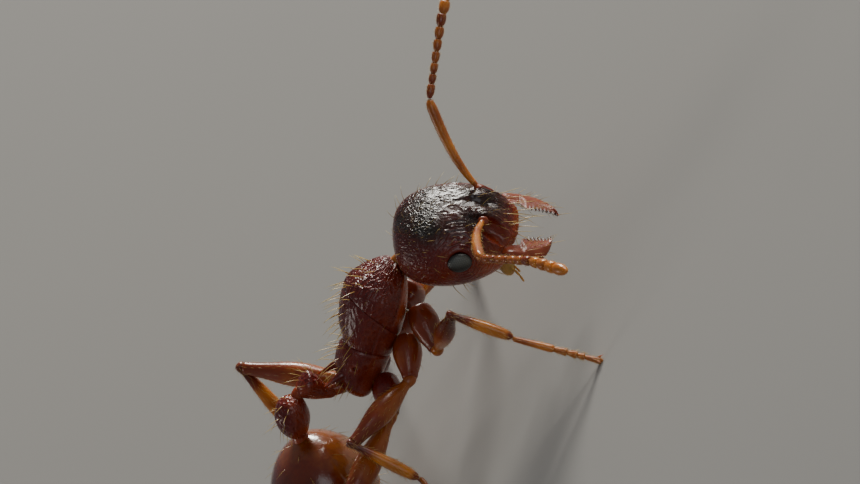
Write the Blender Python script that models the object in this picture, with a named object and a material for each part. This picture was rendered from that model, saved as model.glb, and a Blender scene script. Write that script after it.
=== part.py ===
"""A red fire ant worker (Myrmica rubra) at life size, standing on six feet with its gaster tucked under.

+Z is up, +X the way the ant faces and +Y its left side. The origin lies on the floor, under the middle of
the box round the whole ant. Sizes below are in millimetres, and become metres where an object is placed.
The trunk's frame is an empty: head, waist, gaster and hips hang from it.
"""

from math import acos, asin, atan2, copysign, cos, pi, radians, sin

import bmesh
import bpy
from mathutils import Euler, Matrix, Vector
from mathutils.bvhtree import BVHTree

MM = 0.001  # in metres
GAP = 0.01  # clearance between neighbouring plates and segments

# Trunk: its middle above the floor, how far its front is raised, and where it lies in the whole box
TRUNK_HEIGHT = 1.42
TRUNK_PITCH = radians(8.5)
TRUNK_AHEAD = -0.13
TRUNK_LEFT = 0.109

# Head: its middle from the trunk's, then how it is turned aside, bowed and rolled
HEAD_AT = Vector((1.095, -0.147, -0.33))
HEAD_YAW, HEAD_BOW, HEAD_ROLL = radians(-23), radians(53), radians(1)

# Joints of the waist in the trunk's frame, from the trunk's rear to the gaster's tip
WAIST = [
    Vector((-0.73, 0, -0.04)),
    Vector((-0.86, 0, 0.33)),
    Vector((-1.29, 0, 0.05)),
    Vector((-1.92, 0, -1.03)),
]

# Eyes: where they sit on the sides of the head, and their height as a share of their length
EYE = Vector((0.03, 0.50, 0.11))
EYE_FLATTENING = 0.84

# Feelers
SCAPE_LENGTH = 0.95
SCAPE_RADIUS = 0.042
SCAPE_BOW = 0.06
FUNICLE_LENGTH = 0.74
FUNICLE_RADII = (0.026, 0.040, 0.034, 0.036, 0.040, 0.042, 0.034)
CLUB_LENGTH = 0.60
CLUB_RADII = (0.036, 0.050, 0.052, 0.054, 0.053, 0.045, 0.020)
SOCKET = Vector((0.33, 0.17, 0.6))  # above the left socket, in the head's frame; mirrored for the right
FEELERS = {  # azimuth and elevation of scape, funicle and club in the head's frame, in degrees
    "left": ((125, 46), (71, 34), (77, 21)),
    "right": ((-91, 23), (-47, 27), (-50, 27)),
}

# Mandibles: the hinge of the left one in the head's frame, how far they hang, how far their inner edges
# are raised, and where each is swung to
HINGE = Vector((0.49, 0.327, 0.03))
JAW_DROOP, JAW_ROLL = radians(20), radians(20)
JAW_SWING = {"left": radians(4), "right": radians(18)}

# Legs: points under the hips in the trunk's frame, lengths of coxa, femur, tibia and tarsus, and radii
HIPS = {"fore": (0.32, 0.34, -0.5), "mid": (0.0, 0.36, -0.5), "hind": (-0.42, 0.34, -0.5)}
LENGTHS = {
    "fore": (0.36, 0.85, 0.62, 0.80),
    "mid": (0.33, 0.85, 0.71, 0.93),
    "hind": (0.34, 1.14, 0.80, 1.10),
}
RADII = {"fore": (0.105, 0.09, 0.062), "mid": (0.085, 0.11, 0.066), "hind": (0.095, 0.122, 0.070)}
COXA_BALL, HIP_RADIUS, KNEE_RADIUS, ANKLE_RADIUS, TIP_RADIUS = 0.11, 0.052, 0.045, 0.036, 0.030
FOOT_RADIUS = 0.034
SOLE_DEPTH = 0.012  # how much of the round foot the flat sole takes off
STANCE = {  # azimuth and elevation of coxa, femur and tibia, and the tarsus's azimuth, in degrees
    "fore_right": ((-115, -39), (-52, 24), (-53, -62), -43),
    "fore_left": ((100, -39), (44, -10), (137, -56), 99),
    "mid_right": ((-134, -21), (-151, 18), (-68, -66), -104),
    "mid_left": ((117, -35), (88, 3), (135, -39), 114),
    "hind_right": ((-120, -10), (-148, 3), (-158, -37), -142),
    "hind_left": ((145, -5), (135, 44), (-152, -72), 137),
}

COLOURS = {  # base colour, roughness
    "dark_cuticle": ((0.16, 0.018, 0.006), 0.32),
    "amber_cuticle": ((0.46, 0.12, 0.018), 0.30),
    "gaster_cuticle": ((0.33, 0.07, 0.012), 0.28),
    "jaw_cuticle": ((0.36, 0.09, 0.02), 0.30),
    "eye_lens": ((0.02, 0.02, 0.022), 0.45),
    "mouthparts": ((0.55, 0.30, 0.06), 0.45),
}


def material(slot):
    """The Principled material of a slot, made once."""
    found = bpy.data.materials.get(slot)
    if found:
        return found
    made = bpy.data.materials.new(slot)
    made.use_nodes = True
    surface = made.node_tree.nodes["Principled BSDF"]
    colour, roughness = COLOURS[slot]
    surface.inputs["Base Color"].default_value = (*colour, 1)
    surface.inputs["Roughness"].default_value = roughness
    surface.inputs["Metallic"].default_value = 0
    return made


def place(name, data, slot, parent=None, location=(0, 0, 0), rotation=None):
    """One named object in the ant's collection."""
    node = bpy.data.objects.new(name, data)
    bpy.data.collections["fire_ant"].objects.link(node)
    data.materials.append(material(slot))
    node.rotation_mode = "QUATERNION"
    node.parent = parent
    node.location = Vector(location) * MM
    if rotation:
        node.rotation_quaternion = rotation
    return node


def heading(azimuth, elevation):
    """The unit vector that points at an azimuth from +X towards +Y and an elevation, in degrees."""
    turn, rise = radians(azimuth), radians(elevation)
    return Vector((cos(turn) * cos(rise), sin(turn) * cos(rise), sin(rise)))


def along(direction):
    """The rotation that lays a form's +X along a direction, with its +Z kept upward."""
    return direction.to_track_quat("X", "Z")


def smooth(stations, share):
    """The station at a share of the way along, on a Catmull-Rom curve that closes round at both ends."""
    spans = len(stations) - 1
    span = min(int(share * spans), spans - 1)
    part = share * spans - span

    def station(number):
        if 0 <= number <= spans:
            return stations[number]
        x, width, top, bottom = stations[1] if number < 0 else stations[-2]
        return x, -width, bottom, top

    before, start, end, after = (station(span + step) for step in (-1, 0, 1, 2))
    return [
        0.5
        * (
            2 * b
            + (c - a) * part
            + (2 * a - 5 * b + 4 * c - d) * part**2
            + (3 * b - a - 3 * c + d) * part**3
        )
        for a, b, c, d in zip(before, start, end, after)
    ]


def form(stations, segments, rings, roundness=2.0):
    """A closed round form along X, from one pole to the other.

    A station is (x, half width, top, bottom). roundness 2 gives oval sections, and more gives squarer ones.
    """
    mesh = bmesh.new()
    bmesh.ops.create_uvsphere(mesh, u_segments=segments, v_segments=rings, radius=1)
    for vertex in mesh.verts:
        share = acos(max(-1.0, min(1.0, vertex.co.z))) / pi
        angle = atan2(vertex.co.y, vertex.co.x)
        x, width, top, bottom = smooth(stations, share)
        if share in (0.0, 1.0):
            width, top, bottom = 0, (top + bottom) / 2, (top + bottom) / 2
        aside = copysign(abs(cos(angle)) ** (2 / roundness), cos(angle))
        upward = copysign(abs(sin(angle)) ** (2 / roundness), sin(angle))
        vertex.co = (x, width * aside, (top + bottom) / 2 + (top - bottom) / 2 * upward)
    if stations[0][0] < stations[-1][0]:
        bmesh.ops.reverse_faces(mesh, faces=mesh.faces[:])
    mesh.normal_update()
    return mesh


def limb(length, radii, segments=10, rings=8):
    """A round limb segment from the origin along X; radii are (share of the length, radius)."""
    round_stations = [(share * length, radius, radius, -radius) for share, radius in radii]
    return form([(0, 0, 0, 0), *round_stations, (length, 0, 0, 0)], segments, rings)


def cut_away(mesh, point, normal):
    """Takes off what lies beyond a plane, on its normal's side, and closes the cut with a flat face."""
    geometry = mesh.verts[:] + mesh.edges[:] + mesh.faces[:]
    bmesh.ops.bisect_plane(mesh, geom=geometry, dist=1e-9, plane_co=point, plane_no=normal, clear_outer=True)
    rim = [edge for edge in mesh.edges if edge.is_boundary]
    bmesh.ops.holes_fill(mesh, edges=rim, sides=0)


def sliced(mesh, front=None, rear=None, lean=0.0):
    """A copy of a form cut across X: what lies behind front and ahead of rear, closed with flat ends."""
    piece = mesh.copy()
    across = Vector((cos(lean), 0, sin(lean)))
    if front is not None:
        cut_away(piece, Vector((front, 0, 0)), across)
    if rear is not None:
        cut_away(piece, Vector((rear, 0, 0)), -across)
    return piece


def finished(mesh, name):
    """The mesh data of a form, smooth on its round faces and with all faces pointing out."""
    mesh.normal_update()
    bmesh.ops.recalc_face_normals(mesh, faces=mesh.faces[:])
    mesh.transform(Matrix.Scale(MM, 4))
    data = bpy.data.meshes.new(name)
    mesh.to_mesh(data)
    mesh.free()
    data.shade_smooth()
    data.set_sharp_from_angle(angle=radians(50))
    return data


def pull_spines(mesh, roots, tip_shift):
    """Draws the face nearest to each root out to a point, as a spine."""
    for root in roots:
        face = min(mesh.faces, key=lambda f: (f.calc_center_median() - root).length)
        grown = bmesh.ops.extrude_discrete_faces(mesh, faces=[face])["faces"][0]
        middle = grown.calc_center_median()
        shift = Vector((tip_shift.x, copysign(tip_shift.y, root.y), tip_shift.z))
        for vertex in grown.verts:
            vertex.co = middle + shift + (vertex.co - middle) * 0.12


def frames():
    """The empties that carry the trunk and the head."""
    trunk = bpy.data.objects.new("trunk_frame", None)
    trunk.location = Vector((TRUNK_AHEAD, TRUNK_LEFT, TRUNK_HEIGHT)) * MM
    trunk.rotation_euler = (0, -TRUNK_PITCH, 0)
    head = bpy.data.objects.new("head_frame", None)
    head.parent = trunk
    head.location = HEAD_AT * MM
    turn = Matrix.Identity(3)
    for angle, axis in ((HEAD_YAW, "Z"), (HEAD_BOW, "Y"), (HEAD_ROLL, "X")):
        turn = turn @ Matrix.Rotation(angle, 3, axis)
    head.rotation_euler = turn.to_euler()
    for empty in (trunk, head):
        bpy.data.collections["fire_ant"].objects.link(empty)
        empty.empty_display_size = 0.2 * MM
    bpy.context.view_layer.update()
    return trunk, head


def build_trunk(trunk):
    """Pronotum, mesothorax and propodeum: one domed box, parted by two thin cuts."""
    stations = (
        (0.62, 0.00, 0.03, 0.03),
        (0.605, 0.10, 0.11, -0.05),
        (0.54, 0.20, 0.17, -0.12),
        (0.42, 0.29, 0.26, -0.19),
        (0.27, 0.35, 0.33, -0.25),
        (0.09, 0.31, 0.315, -0.30),
        (-0.10, 0.26, 0.24, -0.33),
        (-0.25, 0.23, 0.15, -0.34),
        (-0.39, 0.23, 0.115, -0.35),
        (-0.52, 0.22, 0.065, -0.345),
        (-0.62, 0.19, -0.01, -0.31),
        (-0.675, 0.12, -0.08, -0.25),
        (-0.69, 0.00, -0.16, -0.16),
    )
    whole = form(stations, 26, 20, roundness=2.3)
    cuts = ((0.09, radians(-14)), (-0.25, radians(10)))
    pronotum = sliced(whole, rear=cuts[0][0] + GAP / 2, lean=cuts[0][1])
    middle = sliced(whole, front=cuts[0][0] - GAP / 2, lean=cuts[0][1])
    mesothorax = sliced(middle, rear=cuts[1][0] + GAP / 2, lean=cuts[1][1])
    propodeum = sliced(whole, front=cuts[1][0] - GAP / 2, lean=cuts[1][1])
    roots = [Vector((-0.54, side * 0.12, 0.04)) for side in (1, -1)]
    pull_spines(propodeum, roots, Vector((-0.14, 0.03, 0.09)))
    for name, mesh in (("pronotum", pronotum), ("mesothorax", mesothorax), ("propodeum", propodeum)):
        place(name, finished(mesh, name), "dark_cuticle", trunk)
    tree = BVHTree.FromBMesh(whole)
    middle.free()
    whole.free()
    return tree


def build_neck(trunk, head, capsule):
    """The narrow neck between the pronotum's collar and the back of the head."""
    start = Vector((0.62 + 5 * GAP, 0, 0.03))
    guide = head.matrix_local.inverted() @ (start * MM) / MM
    end = head.matrix_local @ (capsule.find_nearest(guide)[0] * MM) / MM
    length = (end - start).length - 2 * GAP
    mesh = limb(length, ((0.08, 0.05), (0.5, 0.062), (0.92, 0.05)), rings=6)
    place("neck", finished(mesh, "neck"), "dark_cuticle", trunk, start, along(end - start))


def build_waist(trunk):
    """Petiole with its blunt node, and the rounder postpetiole, from joint to joint."""
    shapes = {
        "petiole": (
            (0.00, 0.00, 0.00, 0.00),
            (0.02, 0.060, 0.05, -0.06),
            (0.11, 0.075, 0.06, -0.08),
            (0.20, 0.110, 0.13, -0.09),
            (0.28, 0.130, 0.165, -0.085),
            (0.335, 0.100, 0.11, -0.075),
            (0.36, 0.050, 0.04, -0.05),
            (0.365, 0.00, 0.00, 0.00),
        ),
        "postpetiole": (
            (0.065, 0.00, 0.03, 0.03),
            (0.08, 0.060, 0.09, -0.03),
            (0.13, 0.130, 0.16, -0.08),
            (0.26, 0.165, 0.20, -0.12),
            (0.38, 0.145, 0.17, -0.10),
            (0.465, 0.085, 0.09, -0.06),
            (0.48, 0.00, 0.01, 0.01),
        ),
    }
    for name, start, end in zip(shapes, WAIST, WAIST[1:]):
        direction = (end - start).normalized()
        mesh = form(shapes[name], 20, 12)
        place(name, finished(mesh, name), "dark_cuticle", trunk, start, along(direction))


def build_gaster(trunk):
    """The gaster, parted into its four plated rings, the last one with the sting's blunt tip."""
    start, end = WAIST[2:]
    length = (end - start).length
    stations = [
        (0.00, 0.00, 0.00, 0.00),
        (0.01 * length, 0.13, 0.11, -0.10),
        (0.10 * length, 0.35, 0.34, -0.25),
        (0.27 * length, 0.51, 0.52, -0.39),
        (0.46 * length, 0.55, 0.54, -0.43),
        (0.66 * length, 0.44, 0.40, -0.36),
        (0.83 * length, 0.28, 0.24, -0.23),
        (0.94 * length, 0.12, 0.09, -0.12),
        (0.985 * length, 0.045, 0.01, -0.06),
        (length, 0.00, -0.03, -0.03),
    ]
    whole = form(stations, 24, 22)
    backward = along((end - start).normalized())
    levels = (None, 0.60, 0.78, 0.89, None)
    for number, (front, rear) in enumerate(zip(levels, levels[1:]), 1):
        # X runs backward here, so the forward cut keeps what lies at greater X
        ahead = None if front is None else front * length + GAP / 2
        behind = None if rear is None else rear * length - GAP / 2
        piece = sliced(whole, front=behind, rear=ahead)
        place(f"gaster_{number}", finished(piece, "gaster"), "gaster_cuticle", trunk, start, backward)
    whole.free()


def head_mesh():
    """The head capsule: a rounded box, flat in front, with a frontal lobe and a feeler pit on each side."""
    stations = (
        (0.535, 0.00, 0.00, 0.00),
        (0.525, 0.15, 0.10, -0.10),
        (0.47, 0.27, 0.22, -0.19),
        (0.35, 0.385, 0.32, -0.28),
        (0.18, 0.465, 0.37, -0.335),
        (-0.02, 0.50, 0.385, -0.36),
        (-0.22, 0.49, 0.38, -0.35),
        (-0.41, 0.42, 0.32, -0.30),
        (-0.54, 0.27, 0.20, -0.19),
        (-0.58, 0.00, 0.02, 0.02),
    )
    mesh = form(stations, 34, 22, roundness=2.35)
    for vertex in mesh.verts:
        x, y, z = vertex.co
        if z > 0:
            pit = ((x - 0.34) / 0.11) ** 2 + ((abs(y) - 0.25) / 0.09) ** 2
            lobe = ((x - 0.28) / 0.14) ** 2 + ((abs(y) - 0.12) / 0.06) ** 2
            vertex.co.z += 0.045 * max(0.0, 1 - lobe) - 0.075 * max(0.0, 1 - pit)
    return mesh


def beside(shape, guide, distance):
    """The point a distance off a form, on the line from its nearest point to a guide outside it."""
    point = shape.find_nearest(guide)[0]
    return point + (guide - point).normalized() * distance


def build_head(head):
    """The capsule, and the eye domes that stand on its widest sides."""
    mesh = head_mesh()
    mesh.normal_update()
    capsule = BVHTree.FromBMesh(mesh)
    place("head", finished(mesh, "head"), "dark_cuticle", head)
    profile = ((0.052, 0), (0.048, 0.045), (0.028, 0.090), (0, 0.110), (-0.05, 0.1), (-0.06, 0))
    stations = [(x, radius, EYE_FLATTENING * radius, -EYE_FLATTENING * radius) for x, radius in profile]
    for side, way in (("left", 1), ("right", -1)):
        seat, normal = capsule.ray_cast(Vector((EYE.x, way, EYE.z)), Vector((0, -way, 0)))[:2]
        dome = sliced(form(stations, 16, 12), rear=0.0)
        place(f"eye_{side}", finished(dome, "eye"), "eye_lens", head, seat + normal * GAP, along(normal))
    return capsule


def jaw_outline():
    """A mandible seen from above, pointing along +X with its cutting edge inward at +Y, in millimetres."""
    outer = [(0.0, -0.10), (0.10, -0.125), (0.22, -0.11), (0.33, -0.06), (0.41, 0.02)]
    apex = [(0.46, 0.12)]
    teeth = []
    for number in range(6):
        back = 0.395 - 0.045 * number
        teeth += [(back, 0.105 + 0.012 * number), (back - 0.012, 0.165 - 0.006 * number)]
    return outer + apex + teeth + [(0.12, 0.06), (0.0, 0.06)]


def build_jaws(head):
    """Two flat, toothed mandibles, half open and bent down a little."""
    for side, way in (("left", 1), ("right", -1)):
        curve = bpy.data.curves.new(f"mandible_{side}", "CURVE")
        curve.dimensions = "2D"
        curve.fill_mode = "BOTH"
        curve.extrude = 0.045 * MM
        spline = curve.splines.new("POLY")
        points = [(x, -y * way) for x, y in jaw_outline()]
        spline.points.add(len(points) - 1)
        for point, (x, y) in zip(spline.points, points):
            point.co = (x * MM, y * MM, 0, 1)
        spline.use_cyclic_u = True
        turn = Euler((-JAW_ROLL * way, JAW_DROOP, JAW_SWING[side])).to_quaternion()
        hinge = Vector((HINGE.x, HINGE.y * way, HINGE.z))
        place(f"mandible_{side}", curve, "jaw_cuticle", head, hinge, turn)


def build_mouth(head):
    """The bundle of labium and palps that hangs under the front of the head."""
    stations = (
        (0.0, 0.0, 0.0, 0.0),
        (0.012, 0.060, 0.055, -0.055),
        (0.09, 0.085, 0.075, -0.075),
        (0.17, 0.060, 0.055, -0.055),
        (0.20, 0.0, 0.0, 0.0),
    )
    downward = along(Vector((0.35, 0, -1)))
    mesh = finished(form(stations, 16, 10), "mouthparts")
    place("mouthparts", mesh, "mouthparts", head, Vector((0.36, -0.02, -0.283)), downward)


def tube(name, points, radii, slot, parent):
    """A round rod through points, its radius given at each one, with flat closed ends."""
    curve = bpy.data.curves.new(name, "CURVE")
    curve.dimensions = "3D"
    curve.bevel_depth = 1
    curve.bevel_resolution = 2
    curve.use_fill_caps = True
    spline = curve.splines.new("POLY")
    spline.points.add(len(points) - 1)
    for point, place_at, radius in zip(spline.points, points, radii):
        point.co = (*(place_at * MM), 1)
        point.radius = radius * MM
    return place(name, curve, slot, parent)


def build_feelers(head, capsule):
    """Each feeler: a bowed scape, a thin beaded funicle and a thicker club of four joints."""
    for side, (scape, funicle, club) in FEELERS.items():
        way = 1 if side == "left" else -1
        above = Vector((SOCKET.x, SOCKET.y * way, SOCKET.z))
        start = capsule.ray_cast(above, Vector((0, 0, -1)))[0]
        direction = heading(*scape)
        start += Vector((0, 0, 2 * GAP)) + direction * SCAPE_RADIUS
        elbow = start + direction * SCAPE_LENGTH
        bow = (Vector((-1, 0, 0)) + direction * direction.x).normalized() * SCAPE_BOW
        shares = [number / 8 for number in range(9)]
        points = [start.lerp(elbow, t) + bow * sin(pi * t**0.75) for t in shares]
        radii = [SCAPE_RADIUS * (0.75 + 0.55 * t - 0.25 * t**4) for t in shares]
        tube(f"scape_{side}", points, radii, "amber_cuticle", head)
        start = elbow + direction * (GAP + 0.030)
        for part, turn, length, girth in (
            ("funicle", funicle, FUNICLE_LENGTH, FUNICLE_RADII),
            ("club", club, CLUB_LENGTH, CLUB_RADII),
        ):
            direction = heading(*turn)
            shares = [number / (len(girth) - 1) for number in range(len(girth))]
            points = [start + direction * (length * t) for t in shares]
            tube(f"{part}_{side}", points, girth, "amber_cuticle", head)
            start = points[-1] + direction * GAP


def segment(name, joint, ball, direction, length, radii, rings=8):
    """A limb segment whose first end is a ball round its joint."""
    mesh = limb(length, radii, rings=rings)
    place(name, finished(mesh, name), "amber_cuticle", None, joint - direction * ball, along(direction))


def build_leg(trunk, trunk_shape, pair, side):
    """One leg from its hip to a foot with a small flat sole at floor level."""
    way = 1 if side == "left" else -1
    coxa_way, femur_way, tibia_way, tarsus_turn = STANCE[f"{pair}_{side}"]
    coxa_length, femur_length, tibia_length, tarsus_length = LENGTHS[pair]
    coxa_radius, femur_radius, tibia_radius = RADII[pair]
    x, y, z = HIPS[pair]
    hip = beside(trunk_shape, Vector((x, y * way, z)), COXA_BALL + 2 * GAP)
    joint = trunk.matrix_world @ (hip * MM) / MM
    name = f"{pair}_{side}"

    direction = heading(*coxa_way)
    body = coxa_length - HIP_RADIUS - GAP + COXA_BALL
    radii = ((0.03, COXA_BALL * 0.75), (0.35, coxa_radius), (0.6, coxa_radius * 0.85), (0.96, HIP_RADIUS))
    segment(f"coxa_{name}", joint, COXA_BALL, direction, body, radii)
    joint = joint + direction * coxa_length

    direction = heading(*femur_way)
    body = femur_length - KNEE_RADIUS - GAP + HIP_RADIUS
    radii = (
        (0.02, HIP_RADIUS),
        (0.11, HIP_RADIUS * 0.95),
        (0.17, HIP_RADIUS * 0.85),
        (0.45, femur_radius),
        (0.62, femur_radius * 0.97),
        (0.85, femur_radius * 0.62),
        (0.97, KNEE_RADIUS * 0.75),
    )
    segment(f"femur_{name}", joint, HIP_RADIUS, direction, body, radii, rings=12)
    joint = joint + direction * femur_length

    direction = heading(*tibia_way)
    body = tibia_length - ANKLE_RADIUS - GAP + KNEE_RADIUS
    radii = (
        (0.02, KNEE_RADIUS),
        (0.16, KNEE_RADIUS * 0.85),
        (0.62, tibia_radius),
        (0.82, tibia_radius * 0.92),
        (0.97, ANKLE_RADIUS * 1.15),
    )
    segment(f"tibia_{name}", joint, KNEE_RADIUS, direction, body, radii)
    joint = joint + direction * tibia_length

    fall = asin((joint.z + SOLE_DEPTH - FOOT_RADIUS) / (tarsus_length - FOOT_RADIUS))
    direction = heading(tarsus_turn, -fall * 180 / pi)
    radii = (
        (0.02, ANKLE_RADIUS),
        (0.20, ANKLE_RADIUS * 0.95),
        (0.55, TIP_RADIUS * 1.05),
        (0.90, TIP_RADIUS),
        (1 - FOOT_RADIUS / tarsus_length, FOOT_RADIUS),
    )
    mesh = limb(tarsus_length + ANKLE_RADIUS, radii, rings=12)
    start = joint - direction * ANKLE_RADIUS
    mesh.transform(Matrix.Translation(start) @ along(direction).to_matrix().to_4x4())
    cut_away(mesh, Vector(), Vector((0, 0, -1)))
    place(f"tarsus_{name}", finished(mesh, name), "amber_cuticle")


for old in list(bpy.data.objects):
    bpy.data.objects.remove(old, do_unlink=True)
bpy.context.scene.collection.children.link(bpy.data.collections.new("fire_ant"))
trunk_frame, head_frame = frames()
trunk_shape = build_trunk(trunk_frame)
build_waist(trunk_frame)
build_gaster(trunk_frame)
head_capsule = build_head(head_frame)
build_neck(trunk_frame, head_frame, head_capsule)
build_jaws(head_frame)
build_mouth(head_frame)
build_feelers(head_frame, head_capsule)
for leg_pair in HIPS:
    for leg_side in ("left", "right"):
        build_leg(trunk_frame, trunk_shape, leg_pair, leg_side)
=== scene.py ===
"""A red fire ant worker at life size: its plates, limbs, eyes and setae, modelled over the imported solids.

Shapes are worked out in millimetres in each part's own frame, and a finished piece is in metres, in the
same frame as the solids: +Z up, +X the way the ant faces and +Y its left side, with the floor at zero.
"""

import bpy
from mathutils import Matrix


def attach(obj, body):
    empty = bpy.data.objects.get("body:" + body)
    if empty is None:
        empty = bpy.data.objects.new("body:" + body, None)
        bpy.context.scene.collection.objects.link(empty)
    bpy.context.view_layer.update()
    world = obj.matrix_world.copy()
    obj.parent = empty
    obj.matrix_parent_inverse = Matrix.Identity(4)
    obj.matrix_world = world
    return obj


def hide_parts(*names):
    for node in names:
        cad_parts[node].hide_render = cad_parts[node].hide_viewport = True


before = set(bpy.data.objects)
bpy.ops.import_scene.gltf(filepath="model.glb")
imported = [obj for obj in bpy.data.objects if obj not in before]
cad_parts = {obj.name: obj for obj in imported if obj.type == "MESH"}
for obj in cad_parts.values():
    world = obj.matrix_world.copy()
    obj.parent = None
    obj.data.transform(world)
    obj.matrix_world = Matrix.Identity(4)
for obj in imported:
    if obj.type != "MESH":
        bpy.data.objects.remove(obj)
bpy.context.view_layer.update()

from copy import copy

import bmesh
import bpy
import numpy as np
from math import cos, pi, radians, sin
from mathutils import Euler, Matrix, Vector
from mathutils.bvhtree import BVHTree

# Camera: a long lens that looks at the ant's right side from a little above, rolled so that the ant
# climbs. Its three directions are those of the picture's right and up, and of the way back to the lens.
MM = 0.001
TRUNK_MIDDLE = Vector((-0.13, 0.109, 1.42))
VIEW_RIGHT = Vector((0.571, -0.2158, -0.7921))
VIEW_UP = Vector((0.7982, 0.3714, 0.4742))
VIEW_BACK = VIEW_RIGHT.cross(VIEW_UP).normalized()
VIEW_WIDTH = 7.82
FOCAL_LENGTH, SENSOR_WIDTH = 600, 36
aim = TRUNK_MIDDLE + VIEW_RIGHT * 0.567 + VIEW_UP * 0.708
lens = bpy.data.cameras.new("camera")
lens.lens = FOCAL_LENGTH
lens.sensor_width = SENSOR_WIDTH
lens.clip_start = 0.001
lens.clip_end = 10
camera = bpy.data.objects.new("camera", lens)
bpy.context.scene.collection.objects.link(camera)
turn = Matrix((VIEW_RIGHT, VIEW_UP, VIEW_BACK)).transposed().to_4x4()
stand_off = VIEW_WIDTH * FOCAL_LENGTH / SENSOR_WIDTH
camera.matrix_world = Matrix.Translation((aim + VIEW_BACK * stand_off) * MM) @ turn
bpy.context.scene.camera = camera


# Floor: a plain pale grey sheet that reaches far past the frame, with a faint cloudiness in its tint.
# It isn't part of the ant.
class Paint:
    """A value in a material's nodes. Sums and products of it add the Math nodes that they need."""

    def __init__(self, tree, socket=None):
        self.tree, self.socket = tree, socket

    def node(self, kind, values=None, output=0, **settings):
        """Adds a node with its settings, then its sockets' values or links, and returns one output."""
        made = self.tree.nodes.new("ShaderNode" + kind)
        for name, value in settings.items():
            setattr(made, name, value)
        for name, value in (values or {}).items():
            if isinstance(value, Paint):
                self.tree.links.new(value.socket, made.inputs[name])
            else:
                made.inputs[name].default_value = value
        return Paint(self.tree, made.outputs[output])

    def ramp(self, *stops):
        """The value as a colour, by stops that each hold a position and a colour."""
        made = self.node("ValToRGB", {"Fac": self})
        elements = made.socket.node.color_ramp.elements
        for position, colour in stops[1:-1]:
            elements.new(position)
        for element, (position, colour) in zip(elements, stops):
            element.position, element.color = position, (*colour, 1)
        return made

    def noise(self, scale, detail=2):
        """Soft random noise through the piece, with its scale for each metre."""
        spot = self.node("TexCoord", output=3)
        return self.node("TexNoise", {"Vector": spot, "Scale": scale, "Detail": detail})

    def mark(self, name):
        """A value that the mesh's points carry under a name."""
        return self.node("Attribute", output=2, attribute_name=name)

    def math(self, operation, *values):
        """The result of one Math node."""
        return self.node("Math", dict(enumerate(values)), operation=operation)

    def __add__(self, other):
        return self.math("ADD", self, other)

    __radd__ = __add__

    def __sub__(self, other):
        return self.math("SUBTRACT", self, other)

    def __rsub__(self, other):
        return self.math("SUBTRACT", other, self)

    def __mul__(self, other):
        return self.math("MULTIPLY", self, other)

    def feed(self, surface, name):
        """Links the value to a socket of the material's shader."""
        self.tree.links.new(self.socket, surface.inputs[name])


def new_material(name):
    """A material with its Principled shader and the Paint that starts its nodes."""
    made = bpy.data.materials.new(name)
    made.use_nodes = True
    return made, made.node_tree.nodes["Principled BSDF"], Paint(made.node_tree)


FLOOR_SIZE = 1.6
bpy.ops.mesh.primitive_plane_add(size=FLOOR_SIZE)
floor = bpy.context.object
floor.name = "floor"
paper, paper_shader, paper_paint = new_material("floor_paper")
cloud = paper_paint.noise(60)
cloud.ramp((0, (0.3, 0.29, 0.27)), (1, (0.34, 0.33, 0.31))).feed(paper_shader, "Base Color")
paper_shader.inputs["Roughness"].default_value = 0.9
floor.data.materials.append(paper)

# Light: a big soft panel over the ant's back, a smaller bright one for the glints on its ridges, and two
# weak ones, from the lens's side and from behind. Powers are tiny, as the panels stand centimetres away.
PANELS = (  # name, direction from the ant, distance, size, power and colour
    ("panel_over", (0.9, 0.32, 0.36), 60, 28, 0.02, (1, 0.98, 0.93)),
    ("panel_rim", (0.56, 0.76, 0.4), 60, 18, 0.034, (1, 0.97, 0.9)),
    ("panel_front", (0.35, -1, 0.55), 80, 45, 0.006, (0.94, 0.97, 1)),
    ("panel_side", (-0.9, 0.1, 0.45), 60, 24, 0.005, (1, 0.95, 0.88)),
)
for name, direction, distance, size, power, colour in PANELS:
    light = bpy.data.lights.new(name, "AREA")
    light.shape = "DISK"
    light.size = size * MM
    light.energy = power
    light.color = colour
    panel = bpy.data.objects.new(name, light)
    bpy.context.scene.collection.objects.link(panel)
    way = Vector(direction).normalized()
    panel.location = (TRUNK_MIDDLE + way * distance) * MM
    panel.rotation_euler = way.to_track_quat("Z", "Y").to_euler()
room = bpy.data.worlds.new("room")
bpy.context.scene.world = room
room.use_nodes = True
air = room.node_tree.nodes["Background"].inputs
air["Color"].default_value = (0.86, 0.9, 1, 1)
air["Strength"].default_value = 0.15


# Head capsule: one hard shell of red-brown cuticle, blackish on its crown and wrinkled all over by fine
# rugae, which run lengthwise on the brow, ring the feeler pits and the eyes, and turn into a net behind.
TRUNK_PITCH = radians(8.5)
HEAD_AT = Vector((1.095, -0.147, -0.33))
HEAD_YAW, HEAD_BOW, HEAD_ROLL = radians(-23), radians(53), radians(1)
trunk_frame = Matrix.Translation(TRUNK_MIDDLE) @ Matrix.Rotation(-TRUNK_PITCH, 4, "Y")
head_frame = trunk_frame @ Matrix.Translation(HEAD_AT)
for angle, axis in ((HEAD_YAW, "Z"), (HEAD_BOW, "Y"), (HEAD_ROLL, "X")):
    head_frame = head_frame @ Matrix.Rotation(angle, 4, axis)


def ease(value, start=0, end=1):
    """From 0 at start to 1 at end, smoothly."""
    part = np.clip((value - start) / (end - start), 0, 1)
    return part * part * (3 - 2 * part)


def hill(value, middle, spread):
    """1 at the middle and falling away on both sides."""
    return np.exp(-(((value - middle) / spread) ** 2))


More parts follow.
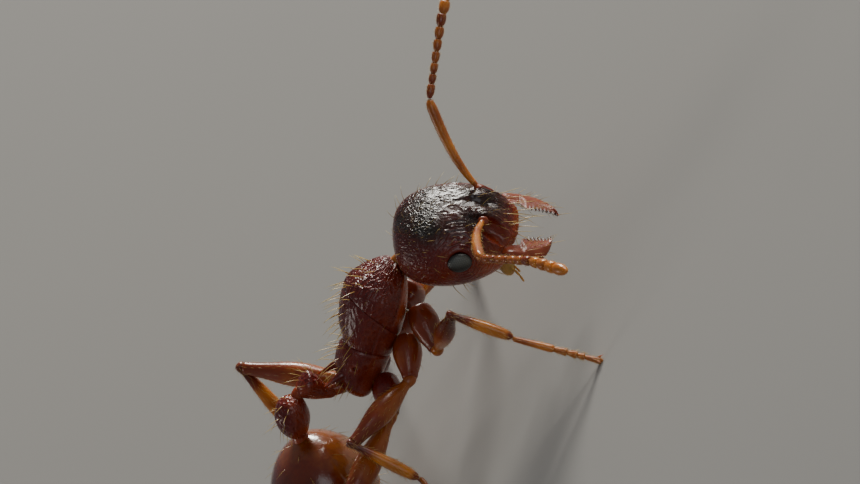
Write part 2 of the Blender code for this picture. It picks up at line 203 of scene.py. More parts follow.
def chance(cells, salt):
    """Three even random numbers from 0 to 1 for each whole-numbered cell."""
    whole = cells.astype(np.int64)
    mixed = whole[:, 0] * 73856093 ^ whole[:, 1] * 19349663 ^ whole[:, 2] * 83492791 ^ salt * 2654435
    numbers = []
    for _ in range(3):
        mixed = (mixed * 1103515245 + 12345) & 0x7FFFFFFF
        mixed = mixed ^ (mixed >> 13)
        numbers.append((mixed & 0xFFFF) / 0xFFFF)
    return np.stack(numbers, axis=1)


def net(points, salt):
    """A net of ridges: 1 along them and 0 in the cells, which are about one unit wide."""
    base = np.floor(points)
    nearest = np.full(len(points), 9.0)
    second = nearest.copy()
    for step in np.ndindex(3, 3, 3):
        cell = base + np.array(step) - 1
        gap = np.linalg.norm(cell + chance(cell, salt) - points, axis=1)
        second = np.minimum(second, np.maximum(nearest, gap))
        nearest = np.minimum(nearest, gap)
    return 1 - ease(second - nearest, 0.03, 0.45)


def clouds(points, salt):
    """Smooth random heights from -1 to 1, with hills about two units apart."""
    base = np.floor(points)
    part = points - base
    part = part * part * (3 - 2 * part)
    height = np.zeros(len(points))
    for step in np.ndindex(2, 2, 2):
        corner = np.array(step)
        share = np.prod(np.where(corner == 1, part, 1 - part), axis=1)
        height += share * (2 * chance(base + corner, salt)[:, 0] - 1)
    return height


def grains(points, salt):
    """The same hills, from 0 to 1."""
    return 0.5 + 0.5 * clouds(points, salt)


def smooth(stations, share):
    """Each point's station at its share of the way along, on a curve that closes round at both ends."""
    table = np.array(stations, float)
    first = (table[1][0], -table[1][1], table[1][3], table[1][2])
    last = (table[-2][0], -table[-2][1], table[-2][3], table[-2][2])
    table = np.vstack((first, table, last))
    spans = len(stations) - 1
    span = np.minimum((share * spans).astype(int), spans - 1)
    part = (share * spans - span)[:, None]
    a, b, c, d = (table[span + step] for step in range(4))
    bend = (2 * a - 5 * b + 4 * c - d) * part**2 + (3 * b - a - 3 * c + d) * part**3
    return (0.5 * (2 * b + (c - a) * part + bend)).T


def assign(piece, slot, *nodes):
    """Hangs a finished piece on the root body and hides the solids that it stands for; slot, the look it
    takes, is not used.
    """
    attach(piece, "root")
    if nodes:
        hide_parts(*nodes)


POLE = 1e-4


class Plate:
    """A closed piece of shell while it is shaped, in millimetres and in its own frame, along X."""

    def __init__(self, name, stations, segments, rings, roundness=2, reach=None):
        """A ball drawn out through stations, each (x, half width, top, bottom), and boxy when roundness is
        over 2. reach, for a plate of a longer form: (share of the rings, share of the form, how wide).
        """
        bpy.ops.mesh.primitive_uv_sphere_add(segments=segments, ring_count=rings, radius=1)
        self.piece = bpy.context.object
        self.mesh = self.piece.data
        self.piece.name = self.mesh.name = name
        ball = self.read("vertices", "co", 3)
        self.order_faces(ball)
        self.share = np.arccos(np.clip(ball[:, 2], -1, 1)) / pi
        self.angle = np.arctan2(ball[:, 1], ball[:, 0])
        self.turns = self.angle / (2 * pi)
        self.unwrap = np.stack((self.turns + 0.5, self.share), axis=1)
        wide = np.where((self.share < POLE) | (self.share > 1 - POLE), 0, 1)
        if reach:
            shares, along_form, widths = np.array(reach).T
            wide = np.interp(self.share, shares, widths)
            self.share = np.interp(self.share, shares, along_form)
        x, width, top, bottom = smooth(stations, self.share)
        width = width * wide
        height = (top - bottom) / 2 * wide
        waves = (np.cos(self.angle), np.sin(self.angle))
        aside, upward = (np.copysign(np.abs(wave) ** (2 / roundness), wave) for wave in waves)
        self.at = np.stack((x, width * aside, (top + bottom) / 2 + height * upward), axis=1)
        self.tone, self.relief, self.marks = 0.5, 0, {}
        if stations[0][0] < stations[-1][0]:
            self.mesh.flip_normals()

    def order_faces(self, places):
        """Makes the mesh again with sorted faces, as the primitive lists them in a new order each run."""
        faces = []
        for face in self.mesh.polygons:
            corners = tuple(face.vertices)
            first = corners.index(min(corners))
            faces.append(corners[first:] + corners[:first])
        self.mesh.clear_geometry()
        self.mesh.from_pydata(places.tolist(), [], sorted(faces))

    def read(self, group, name, size):
        """An array of one value of every vertex, corner or face."""
        items = getattr(self.mesh, group)
        values = np.zeros(len(items) * size)
        items.foreach_get(name, values)
        return values.reshape(-1, size)

    def write(self):
        """Puts the worked-out places into the mesh."""
        self.mesh.vertices.foreach_set("co", self.at.ravel())
        self.mesh.update()

    def swell(self, height):
        """Moves every point out along its normal by its own height."""
        self.write()
        self.at = self.at + self.read("vertex_normals", "vector", 3) * np.reshape(height, (-1, 1))

    def wrinkle(self, height, depth):
        """Raises a pattern of heights and keeps it as the relief that the material reads."""
        self.relief = height
        self.swell(height * depth)

    def cut(self, point, normal):
        """Takes off what lies beyond a plane, on its normal's side, and closes the cut."""
        shell = bmesh.new()
        shell.from_mesh(self.mesh)
        bmesh.ops.bisect_plane(
            shell, geom=shell.verts[:] + shell.edges[:] + shell.faces[:], dist=1e-7,
            plane_co=point, plane_no=normal, clear_outer=True,
        )
        rim = [edge for edge in shell.edges if edge.is_boundary]
        bmesh.ops.holes_fill(shell, edges=rim, sides=0)
        shell.to_mesh(self.mesh)
        shell.free()

    def keep(self, material, place=None):
        """Stores the shape, the attributes, the material and the place, which a limb already has."""
        self.write()
        marks = {"tone": np.clip(self.tone, 0, 1), "relief": np.clip(self.relief, 0, 1), **self.marks}
        for name, values in marks.items():
            layer = self.mesh.attributes.new(name, "FLOAT", "POINT")
            layer.data.foreach_set("value", np.full(len(self.at), values, np.float32))
        self.place = self.place if place is None else place
        self.centres = self.read("polygons", "center", 3)
        self.outward = self.read("polygons", "normal", 3)
        self.areas = self.read("polygons", "area", 1)[:, 0]
        corners = self.read("polygons", "loop_start", 1)[:, 0].astype(int)
        self.face_unwrap = self.unwrap[self.read("loops", "vertex_index", 1)[corners, 0].astype(int)]
        self.mesh.shade_smooth()
        self.mesh.materials.append(material)

    def settle(self, slot, *nodes):
        """Moves the finished mesh into its place, in metres."""
        self.mesh.transform(Matrix.Scale(MM, 4) @ self.place)
        self.mesh.update()
        assign(self.piece, slot, *nodes)


RIDGE_BUMP = 0.0042
WOBBLE, CELLS, BLOTCHES, DUST = 19000, 33000, 5200, 52000  # the scales of the noises, for each metre


def cuticle(name, deep, middle, pale, roughness, dust, coat):
    """Shell: deep, middle and pale by its tone, with finer rugae than the mesh can hold as bump.

    The lines and rings attributes count ridges, ringed says where rings take over from lines, and netting
    where a net of fine ridges does.
    """
    made, shader, paint = new_material(name)
    names = ("tone", "relief", "lines", "rings", "ringed", "netting")
    tone, relief, *phases, ringed, netting = (paint.mark(name) for name in names)
    waves, blotch, fine = paint.noise(WOBBLE), paint.noise(BLOTCHES, 3), paint.noise(DUST)
    spot = paint.node("TexCoord", output=3)
    cells = paint.node("TexVoronoi", {"Vector": spot, "Scale": CELLS}, feature="DISTANCE_TO_EDGE")
    lines, rings = (paint.math("COSINE", (phase + waves * 0.9) * (2 * pi)) for phase in phases)
    striped = lines * (1 - ringed) + rings * ringed
    netted = paint.math("MAXIMUM", 1 - cells * 4.5, 0)
    fine_ridges = (striped * 0.5 + 0.5) * (1 - netting) + netted * netting
    fine_ridges = fine_ridges * (waves * 1.4 + 0.1)
    # The crests of the rugae are painted a little paler than their furrows: painted shade in the furrows.
    level = tone + (blotch - 0.5) * 0.3 - relief * 0.05
    level.ramp((0, pale), (0.5, middle), (1, deep)).feed(shader, "Base Color")
    (roughness + (blotch - 0.5) * 0.12 + (fine - 0.5) * 0.1).feed(shader, "Roughness")
    height = fine_ridges * (RIDGE_BUMP * MM) + fine * (0.5 * dust * MM)
    paint.node("Bump", {"Height": height, "Strength": 1, "Distance": 1}).feed(shader, "Normal")
    for socket, value in (
        ("Subsurface Weight", 0.25),
        ("Subsurface Radius", (1, 0.25, 0.08)),
        ("Subsurface Scale", 0.06 * MM),
        ("Coat Weight", coat),
        ("Coat Roughness", 0.16),
    ):
        shader.inputs[socket].default_value = value
    return made


HEAD_STATIONS = (
    (0.535, 0, 0, 0),
    (0.525, 0.15, 0.1, -0.1),
    (0.47, 0.27, 0.22, -0.19),
    (0.35, 0.385, 0.32, -0.28),
    (0.18, 0.465, 0.37, -0.335),
    (-0.02, 0.5, 0.385, -0.36),
    (-0.22, 0.49, 0.38, -0.35),
    (-0.41, 0.42, 0.32, -0.3),
    (-0.54, 0.27, 0.2, -0.19),
    (-0.58, 0, 0.02, 0.02),
)
EYE = Vector((0.03, 0.5, 0.11))
PIT = Vector((0.345, 0.25, 0))
PIT_LENGTH, PIT_WIDTH, PIT_DEPTH = 0.115, 0.09, 0.085
dark_shell = cuticle(
    "dark_shell", (0.015, 0.008, 0.004), (0.15, 0.009, 0.004), (0.46, 0.08, 0.01), 0.27, 0.0016, 0.22
)
head = Plate("head_shell", HEAD_STATIONS, 540, 176, roundness=2.35)
x, y, z = head.at.T
side = np.abs(y)
upper = ease(z, -0.02, 0.1)
pit_reach = np.sqrt(((x - PIT.x) / PIT_LENGTH) ** 2 + ((side - PIT.y) / PIT_WIDTH) ** 2)
eye_reach = np.sqrt((x - EYE.x) ** 2 + (z - EYE.z) ** 2 + (0.35 * (side - EYE.y)) ** 2)

# the frontal lobes stand up on each side of a furrow and overhang the pits; the clypeus bulges in front
lobe = hill(x, 0.28, 0.13) * ease(side, 0.03, 0.09) * ease(-side, -0.18, -0.15) * upper
clypeus = ease(x, 0.33, 0.43) * ease(-side, -0.27, -0.19) * ease(z, -0.04, 0.06)
raised = 0.052 * lobe - PIT_DEPTH * np.clip(1 - pit_reach**2, 0, 1) ** 0.8 * upper * (1 - 0.7 * lobe)
raised += 0.012 * hill(pit_reach, 1.12, 0.13) * upper + 0.018 * clypeus
raised -= 0.016 * hill(side, 0, 0.03) * hill(x, 0.27, 0.09) * upper
raised -= 0.03 * np.sqrt(hill(side, 0, 0.012) * hill(x, 0.3, 0.016)) * upper
raised += 0.007 * hill(eye_reach, 0.118, 0.014) - 0.012 * ease(-eye_reach, -0.11, -0.09)
raised -= 0.01 * hill(y, 0, 0.008) * ease(-z, 0.15, 0.25)
head.swell(raised)
lip = ease(x, 0.44, 0.5) * ease(-side, -0.25, -0.16) * hill(z, 0.1, 0.045)
mouth = ease(x, 0.37, 0.49) * ease(-side, -0.26, -0.2) * ease(-z, -0.03, 0.03)
head.at[:, 0] += 0.032 * lip - 0.07 * mouth

# rugae: long waved ridges down the brow, rings round the pits and the eyes, and an open net on the crown
RUGA_HEIGHT, RUGA_COUNT = 0.0125, 68
FINE_COUNT, FINE_PITCH = 118, 0.023
EYE_RING_PITCH, PIT_RING_PITCH, PIT_RADIUS = 0.037, 0.034, 0.105
LONG_WAVES, RIDGE_SHARPNESS = (7, 26, 26), 1.6


def ridges(at, phase, salt):
    """Waved ridges, one for each whole number of the phase, that swell, fade and break here and there."""
    waved = phase + 0.55 * clouds(at * LONG_WAVES, salt) + 0.3 * clouds(at * 31, salt + 1)
    crest = (0.5 + 0.5 * np.cos(2 * pi * waved)) ** RIDGE_SHARPNESS
    return crest * (0.78 + 0.42 * clouds(at * (12, 34, 34), salt + 2))


def net_around(plate, lengthwise, radius, waver, salts):
    """A net of ridges laid round a plate of about this radius, with a waver in its cells."""
    around = np.stack((np.cos(plate.angle), np.sin(plate.angle)), axis=1) * radius
    around += waver * np.stack([clouds(plate.at * 9, salt) for salt in salts[:2]], axis=1)
    return net(np.column_stack((lengthwise, around / 0.046)), salts[2])


rear = ease(-x, 0, 0.32)
crown = net_around(head, x / 0.075, 0.43, 0.012, (3, 4, 12))
near_eye = ease(-eye_reach, -0.42, -0.3) * ease(x, -0.3, -0.12)
near_pit = ease(-pit_reach, -2.3, -1.7) * upper
turned = np.mod(head.angle + pi / 2, 2 * pi) / (2 * pi)
rings = eye_reach * (1 - near_pit) + np.maximum(pit_reach, 0.98) * PIT_RADIUS * near_pit
head.marks = {
    "lines": turned * FINE_COUNT + 0.9 * clouds(head.at * LONG_WAVES, 21),
    "rings": rings / FINE_PITCH + 0.5 * clouds(head.at * LONG_WAVES, 31),
    "ringed": np.maximum(near_eye, near_pit),
    "netting": rear,
}
rugae = ridges(head.at, head.turns * RUGA_COUNT, 21) * (1 - rear) + crown * rear
rugae = rugae * (1 - near_eye) + ridges(head.at, eye_reach / EYE_RING_PITCH, 31) * near_eye
rugae = rugae * (1 - near_pit) + ridges(head.at, pit_reach * PIT_RADIUS / PIT_RING_PITCH, 41) * near_pit
strength = (0.2 + 0.8 * ease(z, -0.24, 0)) * ease(eye_reach, 0.108, 0.125)
strength *= 1 - 0.9 * ease(-pit_reach, -1, -0.85) * upper
strength *= (1 - 0.8 * mouth) * ease(x, -0.57, -0.5)
head.wrinkle(np.clip(rugae * strength, 0, 1), RUGA_HEIGHT * (0.62 - 0.32 * rear))
blush = clouds(head.at * 5, 6)
tone = 0.48 + 0.44 * ease(z - 0.25 * side, 0.1, 0.3) + 0.14 * rear * ease(z, -0.05, 0.2) + 0.05 * blush
tone -= 0.42 * ease(x, 0.12, 0.42) * ease(-z, -0.18, -0.02) + 0.12 * lip
in_pit = ease(-pit_reach, -1.15, -0.85) * upper
head.tone = tone * (1 - in_pit) + 0.4 * in_pit
head.keep(dark_shell, head_frame)
head.settle("dark_cuticle", "head")


def along(direction):
    """The turn that lays a form's +X along a direction, with its +Z kept upward."""
    return Vector(direction).to_track_quat("X", "Z").to_matrix().to_4x4()


# Compound eyes: low oval domes of grey-black facets, set in the sides of the head. Each facet is a small
# lens in rows that lie crosswise. The facets' domes are painted paler than the gaps between them, partly as
# painted glints, and the lower half of the eye is painted darker, as painted shade from the light above.
LEFT_AND_RIGHT = (("left", 1), ("right", -1))
EYE_SIZE = (0.052, 0.11, 0.092)
EYE_PROFILE = ((1, 0), (0.93, 0.4), (0.55, 0.81), (0, 1), (-0.6, 0.9), (-0.8, 0))
DOME_CENTRE, DOME_RADIUS = -0.085, 0.115
FACET_PITCH, FACET_RISE = 0.0172, 0.0042
eye_lens, eye_shader, eye_paint = new_material("eye_lens")
# The eye's colour and roughness follow its relief mark, which carries painted glints and painted shade.
facets_and_painted_shade = eye_paint.mark("relief")
level = facets_and_painted_shade * 0.75 + eye_paint.noise(9000) * 0.25
level.ramp((0.15, (0.004, 0.004, 0.004)), (0.9, (0.17, 0.18, 0.16))).feed(eye_shader, "Base Color")
(0.34 - facets_and_painted_shade * 0.12).feed(eye_shader, "Roughness")
solid_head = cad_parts["head"].data
to_head = head_frame.inverted() @ Matrix.Scale(1 / MM, 4)
capsule = BVHTree.FromPolygons(
    [to_head @ vertex.co for vertex in solid_head.vertices],
    [face.vertices[:] for face in solid_head.polygons],
)
for side_name, way in LEFT_AND_RIGHT:
    seat, facing = capsule.ray_cast(Vector((EYE.x, way, EYE.z)), Vector((0, -way, 0)))[:2]
    high, long, wide = EYE_SIZE
    stations = [(a * high, b * long, b * wide, -b * wide) for a, b in EYE_PROFILE]
    eye = Plate(f"eye_dome_{side_name}", stations, 150, 100)
    x, y, z = eye.at.T
    spread = np.arctan2(np.hypot(y, z), x - DOME_CENTRE) * DOME_RADIUS
    bearing = np.arctan2(z, y)
    flat = np.stack((spread * np.cos(bearing), spread * np.sin(bearing)), axis=1)
    rows = np.array((FACET_PITCH, FACET_PITCH * 3**0.5))
    straight = flat - np.round(flat / rows) * rows
    between = flat - (np.round(flat / rows - 0.5) + 0.5) * rows
    off = np.minimum(np.linalg.norm(straight, axis=1), np.linalg.norm(between, axis=1))
    dome = np.sqrt(np.clip(1 - (off / (FACET_PITCH * 0.58)) ** 2, 0, 1)) * ease(x, -0.008, 0.004)
    eye.wrinkle(dome, FACET_RISE)
    # Painted glints and shade: the relief mark is the facets' domes, paler as painted glints, darker
    # towards the rim, and darker on the lower half as painted shade.
    eye.relief = dome * (0.25 + 0.75 * ease(x, 0.01, 0.036)) * (0.1 + 0.9 * ease(z, -0.045, 0.04))
    eye.keep(eye_lens, head_frame @ Matrix.Translation(seat) @ along(facing))
    eye.settle("eye_lens", f"eye_{side_name}")

# Mandibles: two curved blades of glossy, finely striped shell, each with a row of dark teeth on its inner
# edge, hinged in the front corners of the head and held half open.
HINGE = Vector((0.49, 0.327, 0.03))
JAW_DROOP, JAW_ROLL = radians(20), radians(20)
JAW_SWING = {"left": radians(4), "right": radians(18)}
JAW_LENGTH, JAW_ROOT, JAW_THICKNESS = 0.46, 0.1, 0.046
TOOTH_START, TOOTH_PITCH, TOOTH_SIZE = 0.15, 0.036, 0.034
jaw_shell = cuticle(
    "jaw_shell", (0.02, 0.006, 0.003), (0.22, 0.03, 0.005), (0.55, 0.13, 0.02), 0.33, 0.001, 0.2
)
jaws = []
for side_name, way in LEFT_AND_RIGHT:
    spine = [(x, 0.1, 0.04, -0.04) for x in (-JAW_ROOT, 0.06, 0.16, 0.26, 0.36, JAW_LENGTH)]
    jaw = Plate(f"mandible_blade_{side_name}", spine, 96, 230)
    reach = np.clip(jaw.share * (JAW_LENGTH + JAW_ROOT) - JAW_ROOT, -JAW_ROOT, JAW_LENGTH)
    across = -way * np.cos(jaw.angle)
    inward = across * 0.5 + 0.5
    stretch = np.clip(reach / JAW_LENGTH, 0, 1)
    outer = -0.105 - 0.03 * np.sin(pi * np.clip(reach, 0, 0.4) / 0.4) + 0.225 * stretch**4
    inner = 0.06 + 0.075 * ease(reach, 0.09, 0.15) - 0.02 * stretch
    beat = (reach - TOOTH_START) / TOOTH_PITCH
    notch = np.abs(2 * (beat - np.floor(beat)) - 1)
    toothed = ease(reach, TOOTH_START, TOOTH_START + 0.05)
    toothed *= ease(-reach, -JAW_LENGTH + 0.004, -JAW_LENGTH + 0.03)
    closing = np.sqrt(np.clip(1 - ease(-reach, 0, JAW_ROOT) ** 2, 0, 1))
    closing *= 1 - ease(reach, 0.425, JAW_LENGTH)
    middle, half = (inner + outer) / 2, (inner - outer) / 2 * closing
    hooked = ease(reach, 0.4, JAW_LENGTH)
    middle = middle * (1 - hooked) + 0.13 * hooked
    thick = JAW_THICKNESS * closing * (1 - 0.45 * stretch) * (1 - 0.8 * ease(inward, 0.35, 1))
    inside = middle + half * across
    teeth = TOOTH_SIZE * (notch**0.8 - 0.3) * toothed * (0.7 + 0.6 * stretch)
    inside = inside + teeth * ease(inward, 0.8, 0.985)
    sag = 0.16 * reach**2 + 0.9 * np.clip(inside, 0, 1) ** 2
    jaw.at = np.stack((reach, -way * inside, thick * np.sin(jaw.angle) - sag + 0.02), axis=1)
    grooves = ridges(jaw.at, inside / 0.019 + 0.4 * reach / 0.05, 51)
    jaw.wrinkle(grooves * ease(-inward, -0.95, -0.8) * closing, 0.0016)
    jaw.tone = 0.46 + 0.6 * ease(inward, 0.8, 0.99) * toothed + 0.25 * ease(reach, 0.36, 0.45)
    turn = Euler((-JAW_ROLL * way, JAW_DROOP, JAW_SWING[side_name])).to_matrix().to_4x4()
    jaw.keep(jaw_shell, head_frame @ Matrix.Translation((HINGE.x, HINGE.y * way, HINGE.z)) @ turn)
    jaw.settle("jaw_cuticle", f"mandible_{side_name}")
    jaws.append(jaw)


# Mouthparts: a soft yellow bundle under the jaws, with two pairs of jointed palps that hang from it,
# the outer pair longer than the inner one.
def ends(node, near):
    """The two ends of a long solid in millimetres, the one nearer to a point first."""
    places = np.array([vertex.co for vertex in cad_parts[node].data.vertices]) / MM
    gaps = np.linalg.norm(places[:, None] - places[None], axis=2)
    first, last = np.unravel_index(np.argmax(gaps), gaps.shape)
    pair = [Vector(places[first]), Vector(places[last])]
    return sorted(pair, key=lambda place: (place - Vector(near)).length)


def girth(node, start, end):
    """A long solid's greatest radius, off the line between its ends."""
    direction = (end - start).normalized()
    offsets = [vertex.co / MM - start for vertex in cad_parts[node].data.vertices]
    return max((offset - direction * offset.dot(direction)).length for offset in offsets)


def limb(name, start, end, profile, radius, segments=24, rings=40, flat=1):
    """A limb segment between two points: profile gives (share of the length, share of the radius)."""
    length = (end - start).length
    stations = [(at * length, part * radius * flat, part * radius, -part * radius) for at, part in profile]
    made = Plate(name, [(0, 0, 0, 0), *stations, (length, 0, 0, 0)], segments, rings)
    made.place = Matrix.Translation(start) @ along(end - start)
    made.length = length
    return made


def join(name, plates, slot, *nodes):
    """Makes one piece of several plates that are already kept, and puts it in place in metres."""
    for chosen in bpy.context.selected_objects:
        chosen.select_set(False)
    for plate in plates:
        plate.mesh.transform(plate.place)
        plate.piece.select_set(True)
    joined = plates[0]
    bpy.context.view_layer.objects.active = joined.piece
    bpy.ops.object.join()
    joined.piece.name = joined.mesh.name = name
    joined.mesh.transform(Matrix.Scale(MM, 4))
    joined.mesh.update()
    assign(joined.piece, slot, *nodes)


palp_skin = cuticle(
    "palp_skin", (0.3, 0.12, 0.02), (0.52, 0.27, 0.05), (0.7, 0.46, 0.13), 0.42, 0.001, 0.15
)
PALP_PROFILE = ((0.05, 0.7), (0.5, 1), (0.92, 0.75))
bundle_top, bundle_end = ends("mouthparts", head_frame @ Vector((0, 0, 0)))
to_world = head_frame.to_3x3()
forward, sideways, downward = (to_world @ Vector(way) for way in ((1, 0, 0), (0, 1, 0), (0.35, 0, -1)))
stem = (bundle_top - bundle_end).normalized() * 0.09
bundle = limb(
    "labium", bundle_top + stem, bundle_end - stem * 0.5,
    ((0.04, 0.9), (0.3, 1), (0.55, 1), (0.85, 0.75), (0.97, 0.4)), 0.08,
)
bundle.wrinkle(ridges(bundle.at, bundle.at[:, 1] / 0.03, 61), 0.004)
mouth_plates = [bundle]
for way in (1, -1):
    for spread, length, lean in ((0.055, 0.075, 0.55), (0.022, 0.05, 0.9)):
        joint = bundle_top.lerp(bundle_end, 0.55) + sideways * way * spread + forward * 0.03
        heading = (downward.normalized() * 0.8 + forward * lean + sideways * way * 0.35).normalized()
        for number in range(3):
            tip = joint + heading * length
            thick = 0.0135 - 0.0015 * number
            mouth_plates.append(limb("palp", joint, tip, PALP_PROFILE, thick, 12, 12))
            joint = tip - heading * 0.004
            heading = (heading + downward.normalized() * 0.25 - forward * 0.15).normalized()
for plate in mouth_plates:
    plate.tone = 0.45 + 0.2 * clouds(plate.at * 20, 62)
    plate.keep(palp_skin)
join("mouthparts_soft", mouth_plates, "mouthparts", "mouthparts")

# Feelers: a bowed scape on a ball joint in each pit, then eleven short joints. The last four are a thicker
# club, and the last one of all is the longest and ends in a blunt point.
SCAPE_BOW = 0.06
SCAPE_PROFILE = (
    (0.02, 0.8), (0.05, 1), (0.08, 0.55), (0.13, 0.6), (0.35, 0.8), (0.65, 0.95), (0.88, 1), (0.97, 0.75)
)
BEAD_PROFILE = ((0.03, 0.45), (0.12, 0.62), (0.35, 0.92), (0.7, 1), (0.92, 0.86), (0.985, 0.5))
LAST_BEAD_PROFILE = ((0.02, 0.5), (0.08, 0.72), (0.3, 1), (0.6, 0.93), (0.82, 0.66), (0.95, 0.34))
BEADS = (  # part, lengths, radii, how pale
    (
        "funicle", (0.165, 0.12, 0.13, 0.135, 0.145, 0.15, 0.155),
        (0.036, 0.033, 0.034, 0.036, 0.038, 0.041, 0.044), 0,
    ),
    ("club", (0.21, 0.22, 0.23, 0.34), (0.049, 0.053, 0.055, 0.054), 0.22),
)
limb_shell = cuticle(
    "limb_shell", (0.045, 0.006, 0.003), (0.25, 0.035, 0.004), (0.8, 0.29, 0.03), 0.3, 0.0012, 0.25
)
feelers = {}
for side_name, way in LEFT_AND_RIGHT:
    socket = head_frame @ Vector((0.33, 0.17 * way, 0.38))
    root, elbow = ends(f"scape_{side_name}", socket)
    scape = limb(f"scape_{side_name}_shell", root, elbow, SCAPE_PROFILE, 0.047, 32, 150)
    straight = (elbow - root).normalized()
    back = to_world @ Vector((-1, 0, 0))
    bow = (back - straight * back.dot(straight)).normalized() * SCAPE_BOW
    bend = (scape.place.to_3x3().inverted() @ bow)[:]
    share = np.clip(scape.at[:, 0] / scape.length, 0, 1)
    scape.at = scape.at + np.outer(np.sin(pi * share**0.75), bend)
    scape.wrinkle(grains(scape.at * 55, 71), 0.0012)
    scape.tone = 0.3 + 0.3 * ease(-scape.at[:, 0], -0.16, 0) + 0.15 * clouds(scape.at * 6, 72)
    scape.keep(limb_shell)
    scape.settle("amber_cuticle", f"scape_{side_name}")
    joints, tip = [scape], elbow
    for part, lengths, radii, paler in BEADS:
        start, end = ends(f"{part}_{side_name}", tip)
        start = tip.lerp(start, 0.2)
        beads, reached = [], 0
        for number, (length, radius) in enumerate(zip(lengths, radii)):
            share = length / sum(lengths)
            first, last = start.lerp(end, reached), start.lerp(end, reached + share * 1.04)
            reached += share
            shape = LAST_BEAD_PROFILE if (part, number) == ("club", 3) else BEAD_PROFILE
            bead = limb("bead", first, last, shape, radius, 24, 26)
            bead.wrinkle(grains(bead.at * 60, 73 + number), 0.0012)
            bead.tone = 0.5 + 0.16 * clouds(bead.at * 8 + number, 74) - paler
            bead.keep(limb_shell)
            beads.append(bead)
        joints += beads
        tip = end
        join(f"{part}_{side_name}_joints", beads, "amber_cuticle", f"{part}_{side_name}")
    feelers[side_name] = joints

# Trunk: one domed, wrinkled box of shell in three plates, with fine seams between them, a furrow before
# the hind part, breathing holes, and two short spines that point back over the waist.
TRUNK_STATIONS = (
    (0.62, 0, 0.03, 0.03),
    (0.605, 0.1, 0.11, -0.05),
    (0.54, 0.2, 0.17, -0.12),
    (0.42, 0.29, 0.26, -0.19),
    (0.27, 0.35, 0.33, -0.25),
    (0.09, 0.31, 0.315, -0.3),
    (-0.1, 0.26, 0.24, -0.33),
    (-0.25, 0.23, 0.15, -0.34),
    (-0.39, 0.23, 0.115, -0.35),
    (-0.52, 0.22, 0.065, -0.345),
    (-0.62, 0.19, -0.01, -0.31),
    (-0.675, 0.12, -0.08, -0.25),
    (-0.69, 0, -0.16, -0.16),
)
SEAMS = ((0.09, radians(-14)), (-0.25, radians(10)))
SEAM_WIDTH, SEAM_DEPTH = 0.016, 0.01
HOLE_X, HOLE_Z = -0.42, -0.03
trunk = Plate("trunk_form", TRUNK_STATIONS, 400, 270, roundness=2.3)
x, y, z = trunk.at.T
side = np.abs(y)
top = ease(z, -0.05, 0.1)
from_seams = [(x - level) * cos(lean) + z * sin(lean) for level, lean in SEAMS]
furrow = z + 0.02 + 0.22 * (0.62 - x)
side_furrow = z + 0.07 - 0.25 * (x + 0.1)
shape = -0.024 * hill(x, -0.25, 0.055) * top
shape -= 0.012 * hill(furrow, 0, 0.012) * ease(x, 0.1, 0.16) * ease(side, 0.08, 0.14)
shape -= 0.008 * hill(side_furrow, 0, 0.012) * ease(x, -0.26, -0.2) * ease(-x, -0.14, -0.06)
hole = np.hypot(x - HOLE_X, z - HOLE_Z)
shape += 0.009 * hill(hole, 0.028, 0.009) - 0.022 * hill(hole, 0, 0.013)
shape += 0.03 * hill(x, -0.57, 0.08) * hill(z, -0.23, 0.06) * ease(side, 0.05, 0.12)
shape += 0.02 * hill(x, -0.54, 0.05) * hill(side, 0.12, 0.045) * ease(z, -0.06, 0.02)
for gap in from_seams:
    shape -= SEAM_DEPTH * hill(gap, 0, SEAM_WIDTH) * (0.35 + 0.65 * ease(-z, -0.2, 0.05))
trunk.swell(shape)
rugae = net_around(trunk, trunk.at[:, 0] / 0.085, 0.3, 0.01, (81, 82, 83))
smoother = ease(-z, 0.14, 0.26) + ease(-x, 0.6, 0.68) + ease(x, 0.58, 0.66)
smoother += ease(furrow, 0, -0.02) * ease(x, 0.12, 0.2)
rugae = rugae * (1 - 0.75 * np.clip(smoother, 0, 1)) * ease(hole, 0.03, 0.042)
for gap in from_seams:
    rugae = rugae * ease(np.abs(gap), 0.004, 0.016)
rugae, forward_part = np.clip(rugae, 0, 1), 0.35 + 0.65 * ease(x, 0, 0.3)
trunk.wrinkle(rugae, 0.0075 * (0.4 + 0.6 * ease(z, -0.05, 0.12)) * forward_part)
trunk.marks["netting"] = (0.2 + 0.8 * rugae) * forward_part
below = ease(-furrow, 0, 0.03) * ease(x, 0.1, 0.18)
trunk.tone = 0.5 + 0.14 * ease(z, 0.08, 0.26) - 0.3 * below - 0.1 * ease(-z, 0.05, 0.22)
trunk.tone = trunk.tone + 0.06 * clouds(trunk.at * 5, 85) - 0.1 * hill(hole, 0.03, 0.02)
trunk.keep(dark_shell, trunk_frame)


def trunk_plate(name, node, front, rear):
    """A copy of the whole trunk, cut off at its seams and settled as one plate."""
    part = copy(trunk)
    part.piece = trunk.piece.copy()
    part.mesh = part.piece.data = trunk.mesh.copy()
    part.piece.name = part.mesh.name = name
    bpy.context.scene.collection.objects.link(part.piece)
    for seam, way in ((front, 1), (rear, -1)):
        if seam:
            level, lean = seam
            across = Vector((cos(lean), 0, sin(lean)))
            part.cut(Vector((level, 0, 0)) - across * way * 0.002, across * way)
    part.settle("dark_cuticle", node)


